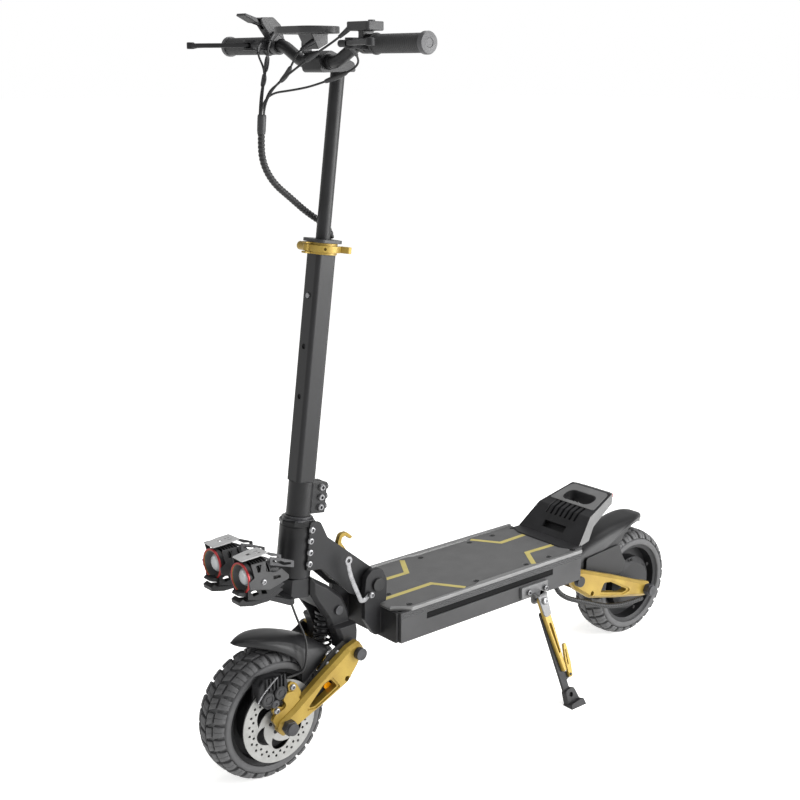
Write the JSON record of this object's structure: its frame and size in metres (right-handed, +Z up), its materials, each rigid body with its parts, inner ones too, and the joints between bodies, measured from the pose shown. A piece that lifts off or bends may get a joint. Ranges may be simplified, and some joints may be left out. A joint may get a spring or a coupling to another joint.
{
  "type": "electric kick scooter",
  "caption": "Folding electric kick scooter with a flat deck, telescoping handlebar column, sprung swing arms, hub motors, disc brakes, twin lamps and a side stand.",
  "frame": {"origin": "on the ground midway between the two axles, on the centre plane", "axes": "+X forward, +Y to the rider's left (the kickstand side), +Z up"},
  "size_m": [1.291, 0.574, 1.4008],
  "materials": {
    "black_alloy": "black anodised, satin",
    "gold_alloy": "gold anodised, satin",
    "dark_steel": "black zinc, satin",
    "bright_steel": "zinc plated",
    "black_plastic": "moulded, matt",
    "grey_plastic": "moulded, fine grain",
    "grip_rubber": "moulded rubber",
    "tyre_rubber": "tyre compound",
    "disc_steel": "ground steel",
    "lens_glass": "clear lens",
    "lamp_strip": "smoked light cover",
    "cable_jacket": "rubber jacket",
    "deck_coat": "textured powder coat",
    "battery_wrap": "shrink film"
  },
  "bodies": {
    "deck": {"deck_box": "black_alloy", "deck_cover": "deck_coat", "deck_lights": "lamp_strip", "front_bracket": "black_alloy", "deck_fasteners": "dark_steel", "rear_bracket": "black_alloy", "footrest": "black_alloy", "battery_pack": "battery_wrap", "deck_electronics": "grey_plastic", "kickstand_bracket": "black_alloy", "rear_motor_cable": "cable_jacket"},
    "kickstand": {"kickstand_channel": "gold_alloy", "kickstand_leg": "dark_steel"},
    "kickstand_tab": {"kickstand_lever": "gold_alloy"},
    "latch": {"latch_lever": "bright_steel"},
    "neck": {"neck_plates": "black_alloy", "head_tube": "black_alloy", "neck_screws": "bright_steel", "headset": "dark_steel"},
    "hook": {"release_hook": "gold_alloy"},
    "fork": {"fork_crown": "black_alloy", "c_arm": "black_alloy", "fork_bolts": "dark_steel", "lower_column": "black_alloy", "column_collar": "gold_alloy", "headlights": "black_plastic", "headlight_lenses": "lens_glass", "front_brake_hose": "cable_jacket"},
    "collar_lever": {"collar_lever": "gold_alloy"},
    "snap_button": {"snap_button": "bright_steel"},
    "bars": {"upper_column": "black_alloy", "handlebar": "black_alloy", "grips": "grip_rubber", "brake_housings": "black_alloy", "control_pods": "black_plastic", "display": "black_plastic", "bar_cables": "cable_jacket"},
    "left_brake": {"brake_lever_left": "black_alloy"},
    "right_brake": {"brake_lever_right": "black_alloy"},
    "throttle": {"throttle_paddle": "black_plastic"},
    "horn": {"horn_button": "grey_plastic"},
    "front_arm": {"front_swing_arm": "gold_alloy", "front_fender": "black_plastic", "front_caliper": "black_alloy", "front_axle": "dark_steel"},
    "front_wheel": {"front_tyre": "tyre_rubber", "front_hub_motor": "black_alloy", "front_brake_disc": "disc_steel"},
    "front_shock": {"front_shock_body": "dark_steel"},
    "front_shock_piston": {"front_shock_rod": "bright_steel", "front_spring": "dark_steel"},
    "rear_arm": {"rear_swing_arm": "gold_alloy", "rear_fender": "black_plastic", "rear_caliper": "black_alloy", "rear_axle": "dark_steel"},
    "rear_wheel": {"rear_tyre": "tyre_rubber", "rear_hub_motor": "black_alloy", "rear_brake_disc": "disc_steel"},
    "rear_shock": {"rear_shock_body": "dark_steel"},
    "rear_shock_piston": {"rear_shock_rod": "bright_steel"}
  },
  "joints": [
    {"name": "stem_fold", "type": "hinge", "parent": "deck", "child": "neck", "pos_m": [0.282, 0, 0.339], "axis": [0, -1, 0], "range_deg": [0, 85]},
    {"name": "steering", "type": "hinge", "parent": "neck", "child": "fork", "pos_m": [0.4476, 0, 0.345], "axis": [-0.1252, 0, 0.9921], "range_deg": [-45, 45]},
    {"name": "column_slide", "type": "slide", "parent": "fork", "child": "bars", "axis": [-0.1252, 0, 0.9921], "range_m": [-0.18, 0], "deforming": ["bar_cables"]},
    {"name": "left_brake_pull", "type": "hinge", "parent": "bars", "child": "left_brake", "pos_m": [0.4142, 0.15, 1.347], "axis": [0, 0, 1], "range_deg": [0, 20], "stiffness_Nm_per_rad": 2, "springref_deg": -8.59},
    {"name": "right_brake_pull", "type": "hinge", "parent": "bars", "child": "right_brake", "pos_m": [0.4142, -0.15, 1.347], "axis": [0, 0, -1], "range_deg": [0, 20], "stiffness_Nm_per_rad": 2, "springref_deg": -8.59},
    {"name": "throttle_push", "type": "hinge", "parent": "bars", "child": "throttle", "pos_m": [0.3992, -0.125, 1.387], "axis": [0, 1, 0], "range_deg": [0, 25], "stiffness_Nm_per_rad": 0.3, "springref_deg": -11.46},
    {"name": "horn_press", "type": "slide", "parent": "bars", "child": "horn", "axis": [0, 0, -1], "range_m": [0, 0.002], "stiffness_N_per_m": 400, "springref_m": -0.001},
    {"name": "collar_release", "type": "hinge", "parent": "fork", "child": "collar_lever", "pos_m": [0.40147, 0, 0.9903], "axis": [0.1252, 0, -0.9921], "range_deg": [0, 100]},
    {"name": "snap_press", "type": "slide", "parent": "fork", "child": "snap_button", "axis": [-0.9921, 0, -0.1252], "range_m": [0, 0.003], "stiffness_N_per_m": 500, "springref_m": -0.001},
    {"name": "hook_swing", "type": "hinge", "parent": "neck", "child": "hook", "pos_m": [0.3256, 0, 0.381], "axis": [0, 1, 0], "range_deg": [0, 20]},
    {"name": "latch_swing", "type": "hinge", "parent": "deck", "child": "latch", "pos_m": [0.304, 0.0595, 0.325], "axis": [0, 1, 0], "range_deg": [0, 55]},
    {"name": "kickstand_fold", "type": "hinge", "parent": "deck", "child": "kickstand", "pos_m": [-0.106, 0.127, 0.222], "axis": [0, -0.9537, -0.3007], "range_deg": [0, 98]},
    {"name": "kickstand_tab_flip", "type": "hinge", "parent": "kickstand", "child": "kickstand_tab", "pos_m": [-0.14692, 0.17782, 0.06081], "axis": [0, -0.9537, -0.3007], "range_deg": [0, 40]},
    {"name": "front_arm_travel", "type": "hinge", "parent": "fork", "child": "front_arm", "pos_m": [0.351, 0, 0.225], "axis": [0, -1, 0], "range_deg": [0, 10], "stiffness_Nm_per_rad": 400, "springref_deg": -8.59, "deforming": ["front_brake_hose"]},
    {"name": "front_wheel_spin", "type": "hinge", "parent": "front_arm", "child": "front_wheel", "pos_m": [0.518, 0, 0.1275], "axis": [0, 1, 0], "continuous": true},
    {"name": "front_shock_swing", "type": "hinge", "parent": "fork", "child": "front_shock", "pos_m": [0.364, 0, 0.302], "axis": [0, -1, 0], "range_deg": [0, 3]},
    {"name": "front_shock_stroke", "type": "slide", "parent": "front_shock", "child": "front_shock_piston", "axis": [-0.1493, 0, 0.9888], "range_m": [0, 0.0046], "deforming": ["front_spring"]},
    {"name": "rear_arm_travel", "type": "hinge", "parent": "deck", "child": "rear_arm", "pos_m": [-0.272, 0, 0.211], "axis": [0, 1, 0], "range_deg": [0, 10], "stiffness_Nm_per_rad": 500, "springref_deg": -11.46, "deforming": ["rear_motor_cable"]},
    {"name": "rear_wheel_spin", "type": "hinge", "parent": "rear_arm", "child": "rear_wheel", "pos_m": [-0.518, 0, 0.1275], "axis": [0, 1, 0], "continuous": true},
    {"name": "rear_shock_swing", "type": "hinge", "parent": "deck", "child": "rear_shock", "pos_m": [-0.298, 0, 0.272], "axis": [0, 1, 0], "range_deg": [0, 5.98]},
    {"name": "rear_shock_stroke", "type": "slide", "parent": "rear_shock", "child": "rear_shock_piston", "axis": [0.4874, 0, 0.8732], "range_m": [0, 0.00952]}
  ],
  "couplings": [
    {"joint": "front_shock_swing", "follows": "front_arm_travel", "ratio": 0.2995},
    {"joint": "front_shock_stroke", "follows": "front_arm_travel", "m_per_rad": 0.02629},
    {"joint": "rear_shock_swing", "follows": "rear_arm_travel", "ratio": 0.5971},
    {"joint": "rear_shock_stroke", "follows": "rear_arm_travel", "m_per_rad": 0.05444}
  ]
}
